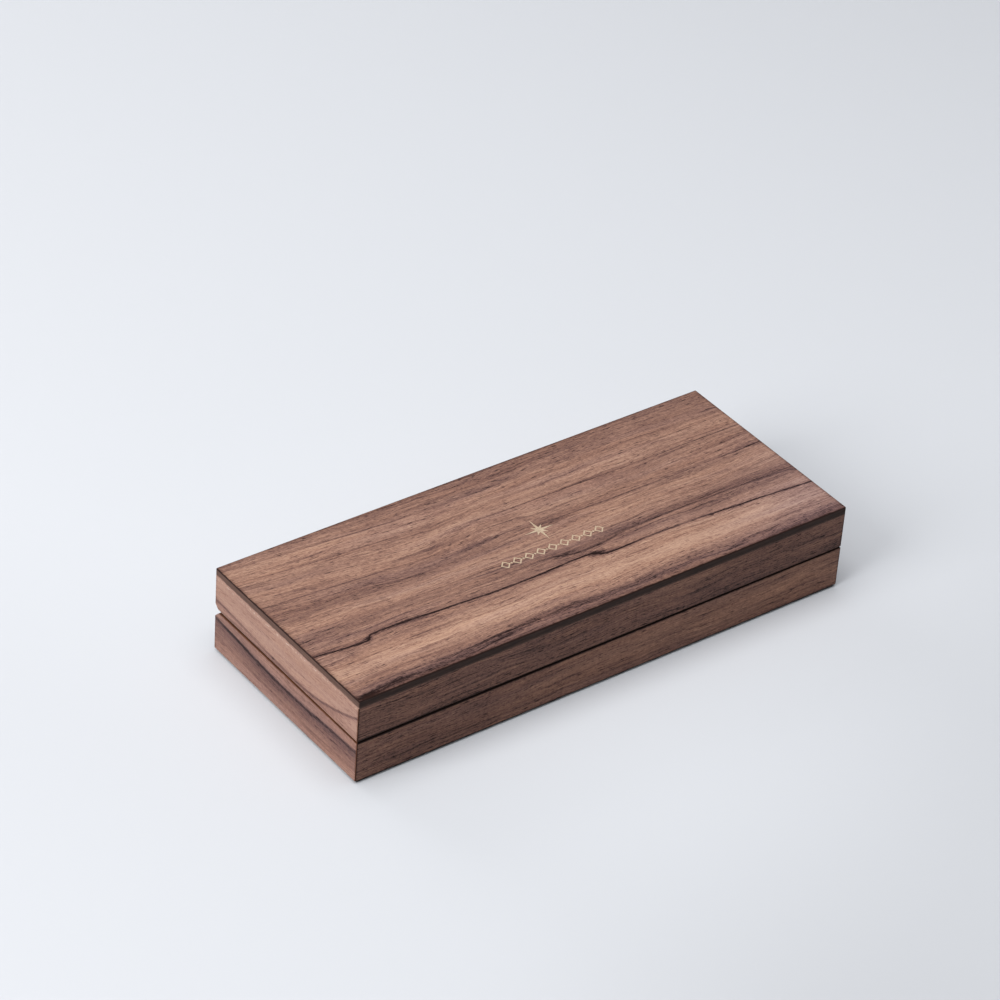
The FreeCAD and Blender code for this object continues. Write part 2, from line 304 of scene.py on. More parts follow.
def top_tint(s, colour):
    """The top is a little warmer than the plain veneer, and purple towards its front right corner."""
    place = s.add(s.times(s.x, 0.62), s.times(s.y, -0.75))
    warm, purple = s.tinted(colour, 1.035, 1.0, 0.975), s.tinted(colour, 0.96, 0.97, 1.07)
    return s.mix(s.smooth(place, 40.0, 85.0), warm, purple)


def side_tint(s, colour):
    """The front, the rear and the right end are a yellower brown."""
    return s.tinted(colour, 1.045, 0.965, 0.865)


def left_tint(s, colour):
    """The left end is a little pinker."""
    return s.tinted(colour, 1.035, 0.985, 1.01)


def top_edge(s, colour):
    """The top veneer's cut edge is dark, and the stain fades out over its rim."""
    from_end = s.less(HALF_LENGTH, s.math("ABSOLUTE", s.x))
    from_side = s.less(HALF_WIDTH, s.math("ABSOLUTE", s.y))
    inside = s.math("MINIMUM", from_end, from_side)
    ragged = s.swing(s.cloud(0.6, 0.6, 2.0, detail=3), 0.12)
    colour = s.mix(s.smooth(s.add(inside, s.times(ragged, 4.0)), 0.2, 1.7, 0.34, 0.0), colour, ARRIS_BROWN)
    return s.mix(s.smooth(s.add(inside, ragged), 0.14, 0.46, 1.0, 0.0), colour, TOP_ARRIS)


def specks(s, colour):
    """Pale rubbed specks in the lid's left end, just under the painted band."""
    drop = s.less(PANEL_LOW, s.z)
    flake = s.noise(s.times(s.y, 0.75), s.times(s.z, 1.7), 2.0, detail=3, rough=0.6)
    where = s.curve(s.y, ((-40.1, 0.2), (-20.0, 0.9), (5.0, 1.0), (28.0, 0.9), (40.1, 0.3)))
    band = s.times(s.smooth(drop, 0.15, 0.4), s.smooth(drop, 0.7, 1.3, 1.0, 0.0), where)
    return s.mix(s.times(band, s.smooth(flake, 0.53, 0.60), 0.7), colour, rgba(196, 176, 162))


def side_edge(length_axis, half, rubbed=0.0, speckled=False):
    """The corners and edges of a side veneer are stained dark. Where rubbed is more than zero, the stain
    is worn back to a paler brown. Where rubbed is zero, the stain is near black with painted shade in it, and
    painted shadow darkens the bottom edge and widens the band along the parting gap towards the left."""
    shade = ARRIS_BROWN if rubbed else ARRIS_BLACK_STAIN_AND_SHADE

    def paint(s, colour):
        along = getattr(s, length_axis)
        ragged = s.swing(s.noise(s.times(along, 0.8), s.times(s.z, 1.6), 5.0, detail=3), 0.10)
        if speckled:
            colour = specks(s, colour)
        # The stain beside the parting line is wider at the left; on the unrubbed sides it is partly painted
        # shadow of the gap between lid and base.
        parting_stain_and_shadow_width = 0.15 if rubbed else s.smooth(along, -half, half, 0.38, 0.12)
        parting = s.less(s.math("ABSOLUTE", s.less(s.z, (BASE_TOP + LID_BOTTOM) / 2)), parting_stain_and_shadow_width)
        near = s.math("MINIMUM", s.less(half, s.math("ABSOLUTE", along)), parting)
        # On the unrubbed sides the bottom edge is darkened too: a painted contact shadow.
        if not rubbed:
            near = s.math("MINIMUM", near, s.less(s.z, BASE_BOTTOM + 0.1))
        bare = s.noise(s.times(along, 0.16), s.times(s.z, 0.2), 3.0, detail=2)
        stain = s.mix(s.smooth(bare, 0.40, 0.60, rubbed, 1.6 * rubbed), shade, RUBBED_BROWN)
        soft = s.mix(s.smooth(s.add(near, s.times(ragged, 3.0)), 0.2, 1.2, 0.25, 0.0), colour, shade)
        return s.mix(s.smooth(s.add(near, ragged), 0.18, 0.50, 1.0, 0.0), soft, stain)
    return paint


# A band is a place across the grain in millimetres and the tone of the wood there. The two lists for the
# lid's top were rounded from a brightness profile that a scratch script measured on the photograph.
TOP_LEFT_BANDS = (
    (-40.0, 0.26), (-37.5, 0.30), (-34.5, 0.40), (-31.5, 0.50), (-28.5, 0.62), (-25.5, 0.76), (-23.5, 0.66),
    (-19.5, 0.54), (-16.5, 0.47), (-12.5, 0.46), (-8.5, 0.45), (-6.0, 0.41), (-3.0, 0.50), (0.5, 0.58),
    (3.5, 0.56), (6.5, 0.40), (9.5, 0.36), (13.0, 0.47), (16.5, 0.50), (21.0, 0.57), (25.0, 0.55),
    (28.0, 0.50), (31.5, 0.58), (35.5, 0.59), (38.5, 0.51), (42.0, 0.42), (47.0, 0.38),
)
TOP_RIGHT_BANDS = (
    (-40.0, 0.33), (-37.0, 0.36), (-34.0, 0.50), (-30.5, 0.57), (-27.5, 0.76), (-24.5, 0.74), (-22.0, 0.62),
    (-17.5, 0.58), (-14.5, 0.46), (-11.0, 0.40), (-6.5, 0.47), (-1.0, 0.58), (4.0, 0.60), (9.5, 0.50),
    (12.0, 0.47), (15.0, 0.50), (19.5, 0.50), (23.5, 0.50), (27.5, 0.58), (31.0, 0.53), (35.0, 0.47),
    (39.0, 0.44), (43.5, 0.38), (47.0, 0.36),
)
# A vein goes through its (along, across) points. above and below are how far its halo reaches on each
# side, and fade is how strong it is at places along it.
TOP_VEINS = (
    dict(points=((-97.5, -14.4), (-89.0, -15.6), (-81.0, -16.3), (-77.8, -16.4), (-76.4, -14.9),
                 (-74.8, -14.2), (-70.0, -14.1), (-48.0, -15.5), (-17.5, -16.9), (6.0, -16.4),
                 (9.5, -16.6), (12.5, -18.3), (16.5, -19.0), (30.0, -18.7), (42.0, -18.9),
                 (65.0, -20.2), (97.5, -22.6)),
         width=0.66, depth=0.58, above=2.6, below=1.9, halo=0.15,
         fade=((-97.5, 0.55), (-80.0, 0.95), (-40.0, 0.85), (20.0, 1.0), (35.0, 0.72), (60.0, 0.95),
               (97.5, 1.0))),
    dict(points=((-97.5, -14.5), (-5.0, -11.4), (8.75, -14.0), (27.5, -12.0), (52.5, -11.6), (97.5, -15.0)),
         width=0.8, depth=0.26, above=4.5, below=0.8, halo=0.16,
         fade=((-97.5, 0.0), (-8.0, 0.0), (-2.0, 1.0), (60.0, 1.0), (97.5, 0.8))),
    dict(points=((-97.5, -38.5), (-60.0, -37.2), (-40.0, -36.4), (-22.5, -34.9), (-12.5, -35.6), (2.5, -36.4),
                 (40.0, -37.2), (97.5, -37.5)),
         width=2.1, depth=0.20, above=3.2, below=1.6, halo=0.15,
         fade=((-97.5, 0.3), (-60.0, 0.7), (-40.0, 1.0), (0.0, 1.0), (40.0, 0.5), (97.5, 0.45))),
    dict(points=((-97.5, -22.9), (-60.0, -23.3), (-22.5, -24.5), (10.0, -23.4), (40.0, -23.8), (97.5, -26.4)),
         width=0.45, depth=0.19, above=1.5, below=0.3, halo=0.06,
         fade=((-97.5, 1.0), (0.0, 0.6), (40.0, 0.4), (97.5, 0.3))),
    dict(points=((-97.5, 30.0), (-35.0, 23.8), (-16.0, 23.1), (20.0, 23.3), (97.5, 23.7)),
         width=0.40, depth=0.25, above=1.3, below=0.4, halo=0.08,
         fade=((-97.5, 0.9), (-40.0, 0.8), (-10.0, 0.2), (25.0, 0.8), (97.5, 0.7))),
    dict(points=((-97.5, 14.4), (-60.0, 11.4), (-30.0, 8.6), (10.0, 5.2), (60.0, 4.3), (97.5, 4.5)),
         width=0.40, depth=0.25, above=1.4, below=0.4, halo=0.08,
         fade=((-97.5, 0.9), (-55.0, 0.7), (-20.0, 0.2), (10.0, 0.8), (97.5, 1.0))),
    dict(points=((-97.5, 24.0), (-10.0, 17.7), (30.0, 16.8), (97.5, 16.2)),
         width=0.38, depth=0.24, above=1.0, below=0.3, halo=0.07,
         fade=((-97.5, 0.2), (-30.0, 0.3), (-5.0, 0.9), (97.5, 0.9))),
    dict(points=((-97.5, 37.0), (-60.0, 33.5), (-40.0, 31.8), (-10.0, 30.4), (30.0, 30.6), (97.5, 31.5)),
         width=0.42, depth=0.24, above=2.0, below=0.4, halo=0.10,
         fade=((-97.5, 0.5), (-50.0, 0.9), (0.0, 1.0), (20.0, 0.3), (97.5, 0.2))),
)
# A blotch is its middle, its reach along and across, and how dark it is.
TOP_BLOTCHES = (
    ((11.5, -17.4), (4.6, 1.7), 0.50), ((-77.3, -15.4), (2.2, 1.2), 0.34), ((2.0, -12.6), (8.0, 1.2), 0.22),
    ((-30.0, 6.2), (16.0, 2.0), 0.06), ((-84.0, -37.5), (12.0, 2.6), 0.10), ((16.0, -17.8), (3.0, 1.0), 0.16),
    ((99.0, -28.0), (26.0, 7.0), 0.15), ((78.0, -39.5), (30.0, 2.5), 0.10),
    ((-90.0, -24.0), (16.0, 5.0), 0.06), ((-94.0, -39.2), (8.0, 1.8), 0.40),
)
SIDE_BANDS = ((0.0, 0.50), (4.0, 0.46), (8.0, 0.52), (12.0, 0.50), (15.0, 0.47), (18.5, 0.44), (22.0, 0.50),
              (25.5, 0.46), (29.0, 0.52), (32.7, 0.50))
LEFT_BASE_BANDS = ((0.0, 0.62), (2.5, 0.58), (5.0, 0.49), (9.0, 0.43), (12.0, 0.47), (16.4, 0.55))
BASE_BLOTCHES = (((-62.0, 8.0), (58.0, 11.0), 0.13),)
LEFT_LID_VEINS = (
    dict(points=((-40.1, 25.8), (-35.0, 23.6), (-28.8, 21.5), (-22.0, 19.7), (-16.2, 18.6), (-6.9, 18.0),
                 (8.75, 18.6), (25.0, 19.7), (40.1, 20.6)),
         width=0.90, depth=0.36, above=0.5, below=3.4, halo=0.13,
         fade=((-40.1, 0.8), (-30.0, 1.0), (-14.0, 0.85), (5.0, 0.70), (25.0, 0.75), (40.1, 0.85))),
    dict(points=((-40.1, 20.0), (-20.0, 17.6), (40.1, 17.9)),
         width=0.6, depth=0.12, above=1.0, below=0.6, halo=0.05,
         fade=((-40.1, 0.2), (-20.0, 0.5), (10.0, 1.0), (40.1, 0.8))),
)
LEFT_BASE_VEINS = (
    dict(points=((-40.1, 12.4), (-22.0, 11.5), (-3.8, 10.7), (8.75, 11.0), (25.0, 12.2), (40.1, 13.3)),
         width=1.15, depth=0.46, above=0.9, below=5.5, halo=0.25,
         fade=((-40.1, 0.9), (-20.0, 0.85), (5.0, 1.0), (40.1, 0.9))),
    dict(points=((-40.1, 5.2), (-10.0, 4.6), (15.0, 5.4), (40.1, 6.3)),
         width=0.8, depth=0.10, above=2.0, below=0.7, halo=0.05,
         fade=((-40.1, 0.9), (0.0, 0.6), (40.1, 0.8))),
)

# The stain on the left end is worn back this much.
LEFT_WEAR = 0.45

walnuts = {
    "lid_top_veneer": walnut(
        "walnut_lid_top", "x", "y", (TOP_LEFT_BANDS, TOP_RIGHT_BANDS), TOP_VEINS, TOP_BLOTCHES,
        drift=top_drift, tone=0.095, contrast=1.2, tint=top_tint, edge=top_edge),
}
# Every side has a seed of its own, so that no two show the same grain.
for body, seed in (("lid", 100.0), ("base", 200.0)):
    for side in SIDES:
        run, half = ("x", HALF_LENGTH) if side in ("front", "rear") else ("y", HALF_WIDTH)
        # On the lid, the front, the rear and the right end take a lower tone than the top: painted shade.
        figure = dict(bands=(SIDE_BANDS,), tone=-0.105, tint=side_tint, edge=side_edge(run, half))
        if body == "base":
            figure.update(blotches=BASE_BLOTCHES, tone=-0.01)
        if side == "left":
            edge = side_edge(run, half, LEFT_WEAR, speckled=body == "lid")
            figure = dict(contrast=0.6, tint=left_tint, edge=edge)
            if body == "lid":
                figure.update(bands=(SIDE_BANDS,), veins=LEFT_LID_VEINS, tone=0.28)
            else:
                figure.update(bands=(LEFT_BASE_BANDS,), veins=LEFT_BASE_VEINS, tone=0.09)
        walnuts[f"{body}_{side}_veneer"] = walnut(
            f"walnut_{body}_{side}", run, "z", seed=seed + 13 * SIDES.index(side), **figure)


# ---- other hard materials ------------------------------------------------------------------------

def edge_paint():
    """The dark band round the lid. On the left end it is thinner and paler, with a chipped lower edge."""
    s = Surface("edge_paint")
    brush = s.cloud(0.12, 0.12, 2.2, detail=3)
    patch = s.cloud(0.3, 0.3, 0.8, detail=3)
    flake = s.cloud(0.7, 0.7, 2.0, detail=3)
    level = s.add(s.times(brush, 0.6), s.times(patch, 0.4))
    dark = s.ramp(level, ((0.30, rgb(38, 28, 25)), (0.50, rgb(50, 38, 34)), (0.72, rgb(66, 49, 43))))
    thin = s.ramp(level, ((0.30, rgb(78, 58, 50)), (0.50, rgb(94, 71, 62)), (0.72, rgb(112, 86, 74))))
    left = s.smooth(s.x, -HALF_LENGTH + 0.02, -HALF_LENGTH + 0.3, 1.0, 0.0)
    worn = s.add(s.times(left, 0.85), 0.15)
    up = s.less(s.z, PANEL_LOW)
    chip = s.times(s.smooth(up, 0.05, 0.5, 1.0, 0.0), s.smooth(flake, 0.60, 0.66), worn)
    feathered = s.times(s.smooth(s.add(up, s.swing(flake, 0.25)), 0.15, 0.75, 0.8, 0.0), worn)
    bare = s.math("MAXIMUM", feathered, s.times(chip, 0.85))
    s.set("Base Color", s.mix(bare, s.mix(left, dark, thin), rgba(172, 136, 120)))
    s.set("Specular IOR Level", WOOD_SHINE)
    s.set("Roughness", s.smooth(patch, 0.3, 0.7, 0.4, 0.6))
    s.bump(s.add(brush, s.times(chip, -1.0)), 0.04, 0.5)
    return s.material


def fibreboard(name, dark, light):
    """Fibreboard or card: short matted fibres with slow patches."""
    s = Surface(name, Roughness=0.85)
    fibre = s.cloud(1.2, 1.2, 2.4, detail=4, rough=0.65)
    patch = s.cloud(0.08, 0.08, 0.3)
    level = s.add(s.times(fibre, 0.7), s.times(patch, 0.3))
    s.set("Base Color", s.ramp(level, ((0.32, dark), (0.68, light))))
    s.bump(fibre, 0.06, 0.6)
    return s.material


def metal(name, colour, worn, rough):
    """Brushed metal that is a little worn."""
    s = Surface(name, Metallic=1.0)
    wear = s.cloud(0.9, 0.9, 0.9, detail=4, rough=0.6)
    brush = s.cloud(0.5, 6.0, 6.0)
    both = s.add(s.times(wear, 0.5), s.times(brush, 0.5))
    s.set("Base Color", s.mix(s.smooth(wear, 0.35, 0.7), colour, worn))
    s.set("Roughness", s.smooth(both, 0.3, 0.7, rough - 0.08, rough + 0.12))
    s.bump(brush, 0.01, 0.4)
    return s.material


def cloth(name, dark, light, pitch, sheen, nap=0.0, rough=0.9):
    """A woven or napped cloth. pitch is the distance between threads in millimetres, and nap is the share
    of soft pile."""
    s = Surface(name, Roughness=rough, Sheen_Weight=sheen, Sheen_Roughness=0.35, Specular_IOR_Level=0.15)
    rate = 2 * math.pi / pitch
    across, down = (s.math("SINE", s.times(s.add(axis, s.times(s.z, 0.7)), rate)) for axis in (s.x, s.y))
    weave = s.times(s.add(s.times(across, down), 1.0), 0.5)
    pile = s.cloud(2.6, 2.6, 2.6, detail=4, rough=0.7)
    patch = s.cloud(0.07, 0.07, 0.1, detail=3)
    level = s.add(s.times(weave, 0.45 * (1 - nap)), s.times(pile, 0.25 + 0.3 * nap),
                  s.times(patch, 0.3 + 0.15 * nap))
    s.set("Base Color", s.ramp(level, ((0.25, dark), (0.75, light))))
    s.bump(s.add(s.times(weave, 1 - nap), s.times(pile, 0.4 + 0.6 * nap)), 0.06, 0.7)
    return s.material


def velvet():
    """Short black pile, lying one way or the other in faint strokes along the case."""
    s = Surface("black_velvet", Roughness=1.0, Sheen_Roughness=0.5, Specular_IOR_Level=0.05)
    strokes = s.cloud(0.035, 0.16, 0.1, detail=3, rough=0.6, bend=0.6)
    pile = s.cloud(1.5, 1.5, 1.5, detail=4, rough=0.75)
    lying = s.add(s.times(s.smooth(strokes, 0.35, 0.65), 0.2), s.swing(pile, 0.3), 0.4)
    s.set("Base Color", s.ramp(lying, ((0.0, rgb(9, 8, 9)), (0.5, rgb(17, 15, 16)), (1.0, rgb(32, 29, 31)))))
    s.set("Sheen Weight", s.smooth(lying, 0.0, 1.0, 0.14, 0.34))
    s.bump(pile, 0.16, 0.8)
    return s.material


def satin():
    """Ivory satin with a fine thread and slubs along the case."""
    s = Surface("satin_lining", Sheen_Weight=0.35, Anisotropic=0.5)
    threads = s.math("SINE", s.times(s.add(s.x, s.times(s.y, 0.35)), 2 * math.pi / 0.22))
    slub = s.cloud(0.5, 5.0, 1.0, detail=3)
    patch = s.cloud(0.05, 0.05, 0.0)
    level = s.add(s.times(threads, 0.08), s.times(slub, 0.5), s.times(patch, 0.45))
    s.set("Base Color", s.ramp(level, ((0.25, rgb(232, 218, 192)), (0.75, rgb(250, 242, 224)))))
    s.set("Roughness", s.smooth(slub, 0.3, 0.7, 0.30, 0.45))
    s.bump(s.add(threads, s.times(slub, 1.5)), 0.012, 0.6)
    return s.material


def foil():
    """Pale gold foil, pressed into the grain and rubbed thin in places."""
    s = Surface("gold_foil", Metallic=0.75)
    grain = s.cloud(0.6, 7.0, 0.0, detail=3, rough=0.6)
    wear = s.noise(s.times(s.x, 1.3), s.times(s.y, 3.0), 4.0, detail=3)
    colour = s.mix(s.smooth(grain, 0.35, 0.7), rgba(208, 182, 152), rgba(234, 213, 186))
    s.set("Base Color", s.mix(s.smooth(wear, 0.62, 0.72, 0.0, 0.5), colour, rgba(150, 118, 98)))
    s.set("Roughness", s.smooth(grain, 0.3, 0.7, 0.42, 0.6))
    s.bump(grain, 0.02, 0.5)
    return s.material


finishes = {
    "edge_paint": edge_paint(),
    "board": fibreboard("stained_board", rgb(62, 44, 34), rgb(104, 78, 60)),
    "card": fibreboard("grey_card", rgb(96, 94, 90), rgb(134, 131, 126)),
    "brass": metal("brass", rgba(206, 164, 92), rgba(176, 132, 70), 0.30),
    "nickel": metal("nickel", rgba(190, 188, 182), rgba(150, 148, 144), 0.28),
    "foil": foil(),
    "liner": cloth("liner_cloth", rgb(16, 15, 17), rgb(34, 32, 35), 0.30, sheen=0.35, nap=0.6),
    "velvet": velvet(),
    "felt": cloth("foot_felt", rgb(14, 13, 14), rgb(34, 32, 33), 0.6, sheen=0.3, nap=1.0),
    "elastic": cloth("woven_elastic", rgb(18, 17, 19), rgb(46, 44, 48), 0.36, sheen=0.2, rough=0.7),
    "satin": satin(),
}


def finish_for(node):
    """The material of a CAD node, from its name. The soft nodes, left to velvet, are replaced below."""
    if node in walnuts:
        return walnuts[node]
    for word, finish in (
        ("top_panel", "edge_paint"), ("wall", "board"), ("bottom_panel", "board"), ("pad_board", "card"),
        ("hinge", "brass"), ("magnets", "nickel"), ("emblem", "foil"), ("liner", "liner"),
    ):
        if word in node:
            return finishes[finish]
    return finishes["velvet"]


for name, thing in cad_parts.items():
    thing.data.materials.clear()
    thing.data.materials.append(finish_for(name))


# ---- soft pieces ---------------------------------------------------------------------------------

def add_mesh(name, points, faces, material):
    """A smooth mesh from points in millimetres."""
    mesh = bpy.data.meshes.new(name)
    mesh.from_pydata([tuple(c * MM for c in p) for p in points], [], faces)
    mesh.materials.append(material)
    for face in mesh.polygons:
        face.use_smooth = True
    thing = bpy.data.objects.new(name, mesh)
    scene.collection.objects.link(thing)
    return thing


def stands_for(thing, body, slot, *nodes):
    """Puts a piece on its body, in place of its CAD nodes. Its slot argument is not used."""
    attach(thing, body)
    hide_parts(*nodes)
    return thing


def millimetres(node):
    low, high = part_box(node)
    return low / MM, high / MM


def spaced(low, high, pitch):
    return np.linspace(low, high, int(round((high - low) / pitch)) + 1)


def step(value, low, high):
    """A soft step from 0 at low to 1 at high."""
    t = min(1.0, max(0.0, (value - low) / (high - low)))
    return t * t * (3 - 2 * t)


def slab_faces(rows, columns):
    """The faces of a closed slab whose points are an upper grid and then a lower one."""
    lower = rows * columns
    faces = []
    for start in (0, lower):
        for i in range(rows - 1):
            for j in range(columns - 1):
                a = start + i * columns + j
                face = (a, a + columns, a + columns + 1, a + 1)
                faces.append(face[::-1] if start else face)
    ring = [i * columns for i in range(rows)]
    ring += [(rows - 1) * columns + j for j in range(1, columns)]
    ring += [i * columns + columns - 1 for i in range(rows - 2, -1, -1)]
    ring += [j for j in range(columns - 2, 0, -1)]
    return faces + [(a, a + lower, b + lower, b) for a, b in zip(ring, ring[1:] + ring[:1])]


def slab(name, xs, ys, top, bottom, material):
    """A closed slab. top and bottom give its heights at a place on the grid of xs and ys."""
    points = [(x, y, height(x, y)) for height in (top, bottom) for x in xs for y in ys]
    return add_mesh(name, points, slab_faces(len(xs), len(ys)), material)


# The velvet bed keeps the grooves and the scoop of its CAD solid, with rounded lips. Its rim is turned
# down, and it dips at the slits that the legs of the elastic loops go through.
GROOVE_RADIUS = 7.2
GROOVE_ROW = 15.0
GROOVE_HALF = 75.0 - GROOVE_RADIUS
LIP_INNER, LIP_OUTER = 6.5, 8.1
SCOOP_HALF_Y, SCOOP_DEPTH, SCOOP_RADIUS = 25.0, 5.0, 19.4
RIM_WIDTH, RIM_DROP = 1.6, 0.9
LOOP_X, LOOP_LEG = 42.0, 8.8
SLIT_HALF, SLIT_DROP = 4.0, 0.7

bed_low, bed_high = millimetres("pen_bed")
bed_axis = bed_high.z + 0.4


def groove_height(x, y):
    """The nearer pen's groove: an arc up to the lip, and then a curve that levels out on the bed's top."""
    over = max(abs(x) - GROOVE_HALF, 0.0)
    q = min(math.hypot(over, y - row) for row in (GROOVE_ROW, -GROOVE_ROW))
    if q >= LIP_OUTER:
        return bed_high.z
    arc = bed_axis - math.sqrt(GROOVE_RADIUS ** 2 - min(q, LIP_INNER) ** 2)
    if q <= LIP_INNER:
        return arc
    slope = LIP_INNER / math.sqrt(GROOVE_RADIUS ** 2 - LIP_INNER ** 2) * (LIP_OUTER - LIP_INNER)
    t = (q - LIP_INNER) / (LIP_OUTER - LIP_INNER)
    return ((2 * t ** 3 - 3 * t ** 2 + 1) * arc + (t ** 3 - 2 * t ** 2 + t) * slope
            + (3 * t ** 2 - 2 * t ** 3) * bed_high.z)


def scoop_height(x, y):
    """The finger scoop across both grooves."""
    fall = max(0.0, math.sqrt(max(SCOOP_RADIUS ** 2 - x * x, 0.0)) - (SCOOP_RADIUS - SCOOP_DEPTH))
    return bed_high.z - fall * (1 - step(abs(y), SCOOP_HALF_Y - 2.2, SCOOP_HALF_Y))


def bed_height(x, y):
    """The velvet's top, with a slight ripple."""
    height = min(groove_height(x, y), scoop_height(x, y))
    rim = min(bed_high.x - abs(x), bed_high.y - abs(y))
    height -= RIM_DROP * (1 - step(rim, 0.0, RIM_WIDTH))
    for row in (GROOVE_ROW, -GROOVE_ROW):
        for leg in (-LOOP_LEG, LOOP_LEG):
            near = max(abs(x - LOOP_X) - SLIT_HALF, 0.0) + abs(y - row - leg)
            height -= SLIT_DROP * (1 - step(near, 0.2, 1.3))
    ripple = 0.05 * math.sin(x * 0.31 + 1.3 * math.sin(y * 0.21)) + 0.04 * math.sin(y * 0.53 + x * 0.13)
    return height - 0.09 + ripple


def bed_underside(x, y):
    return bed_low.z + 0.02


bed = slab("velvet_pen_bed", spaced(bed_low.x, bed_high.x, 0.75), spaced(bed_low.y, bed_high.y, 0.42),
           bed_height, bed_underside, finishes["velvet"])
stands_for(bed, "base", "velvet", "pen_bed")


# The elastic loops are flat woven straps with fine ribs along them and bound edges.
LOOP_ARC_RADIUS = 10.9
LEG_STEPS, ARCH_STEPS = 7, 40
STRAP_HALF_WIDTH = 3.95
STRAP_STEPS, STRAP_RIBS = 44, 11


def loop_line():
    """The strap's middle line from one leg over the arch to the other, as (y, z, normal y, normal z)."""
    low, high = millimetres("pen_loop_front")
    foot = low.z + 0.1
    centre = high.z - 0.4 - LOOP_ARC_RADIUS
    lean = math.asin(LOOP_LEG / LOOP_ARC_RADIUS)
    spring = centre + LOOP_ARC_RADIUS * math.cos(lean)
    leg = [(-LOOP_LEG, foot + (spring - foot) * i / LEG_STEPS, -1.0, 0.0) for i in range(LEG_STEPS)]
    arch = []
    for i in range(ARCH_STEPS + 1):
        a = -lean + 2 * lean * i / ARCH_STEPS
        y, z = math.sin(a), math.cos(a)
        # The strap turns towards upright where the arch meets a leg.
        blend = 1 - step(lean - abs(a), 0.0, 0.25)
        ny, nz = y + blend * 0.5 * math.copysign(1, a), z * (1 - 0.5 * blend)
        size = math.hypot(ny, nz)
        arch.append((LOOP_ARC_RADIUS * y, centre + LOOP_ARC_RADIUS * z, ny / size, nz / size))
    return leg + arch + [(-y, z, -ny, nz) for y, z, ny, nz in reversed(leg)]


def strap_section():
    """The strap's cross-section as (across, out) points, ribbed on both faces with thicker edges."""
    outer = []
    for i in range(STRAP_STEPS + 1):
        t = -1 + 2 * i / STRAP_STEPS
        rib = 0.045 * math.cos(t * math.pi * STRAP_RIBS)
        edge = 0.08 * step(abs(t), 0.86, 0.95) - 0.26 * step(abs(t), 0.955, 1.0)
        outer.append((t * STRAP_HALF_WIDTH, 0.25 + rib + edge))
    return outer + [(a, -b) for a, b in reversed(outer)]


def strap(name, node, row):
    """One loop: the section swept along the line over its row of the bed, with closed ends."""
    section, line = strap_section(), loop_line()
    low, high = millimetres(node)
    middle = (low.x + high.x) / 2
    points = []
    for y, z, ny, nz in line:
        points += [(middle + a, row + y + ny * b, z + nz * b) for a, b in section]
    n = len(section)
    last = (len(line) - 1) * n
    faces = []
    for start in range(0, last, n):
        for j in range(n):
            k = (j + 1) % n
            faces.append((start + j, start + k, start + n + k, start + n + j))
    faces.append(tuple(range(n - 1, -1, -1)))
    faces.append(tuple(range(last, last + n)))
    thing = add_mesh(name, points, faces, finishes["elastic"])
    return stands_for(thing, "base", "elastic", node)


strap("elastic_loop_front", "pen_loop_front", -GROOVE_ROW)
strap("elastic_loop_rear", "pen_loop_rear", GROOVE_ROW)


def felt_sheet():
    """The felt under the base: one cut sheet with a slightly uneven edge."""
    low, high = millimetres("base_foot_felt")
    xs, ys = spaced(low.x, high.x, 2.4), spaced(low.y, high.y, 2.4)
    points = []
    for z in (high.z - 0.01, low.z + 0.02):
        for x in xs:
            for y in ys:
                rim = x in (xs[0], xs[-1]) or y in (ys[0], ys[-1])
                cut = 0.12 * (1 + math.sin(x * 1.7 + y * 0.9)) + 0.08 * (1 + math.sin(x * 0.43 - y * 2.1))
                shrink = 1 - cut / max(abs(x), abs(y)) if rim else 1
                points.append((x * shrink, y * shrink, z))
    return add_mesh("foot_felt_sheet", points, slab_faces(len(xs), len(ys)), finishes["felt"])


felt = felt_sheet()
stands_for(felt, "base", "foot_felt", "base_foot_felt")


# The lid's pad is a thin satin cushion, glued to its board at the back. Its cloth is simulated larger
# than life, and kept inside its CAD space by these margins in metres.
SIM_SCALE = 5.0
SIM_STEPS = 20
LOW_MARGINS = (0.0001, 0.0001, 0.00005)
HIGH_MARGINS = (0.0001, 0.0001, 0.00002)


def pad_start():
    """A slab with drawn-in sides, a little smaller than the pad that it swells to."""
    low, high = millimetres("lid_pad")
    back = high.z - 0.03
    half_x, half_y = high.x - 1.4, high.y - 1.4

    def glued_back(x, y):
        return back

    def front(x, y):
        rim = min(half_x - abs(x), half_y - abs(y))
        return back - 0.8 - 1.7 * math.sqrt(1 - (1 - step(rim, 0.0, 9.0)) ** 2)

    xs, ys = spaced(-half_x, half_x, 1.6), spaced(-half_y, half_y, 1.6)
    return slab("satin_lid_pad", xs, ys, glued_back, front, finishes["satin"])


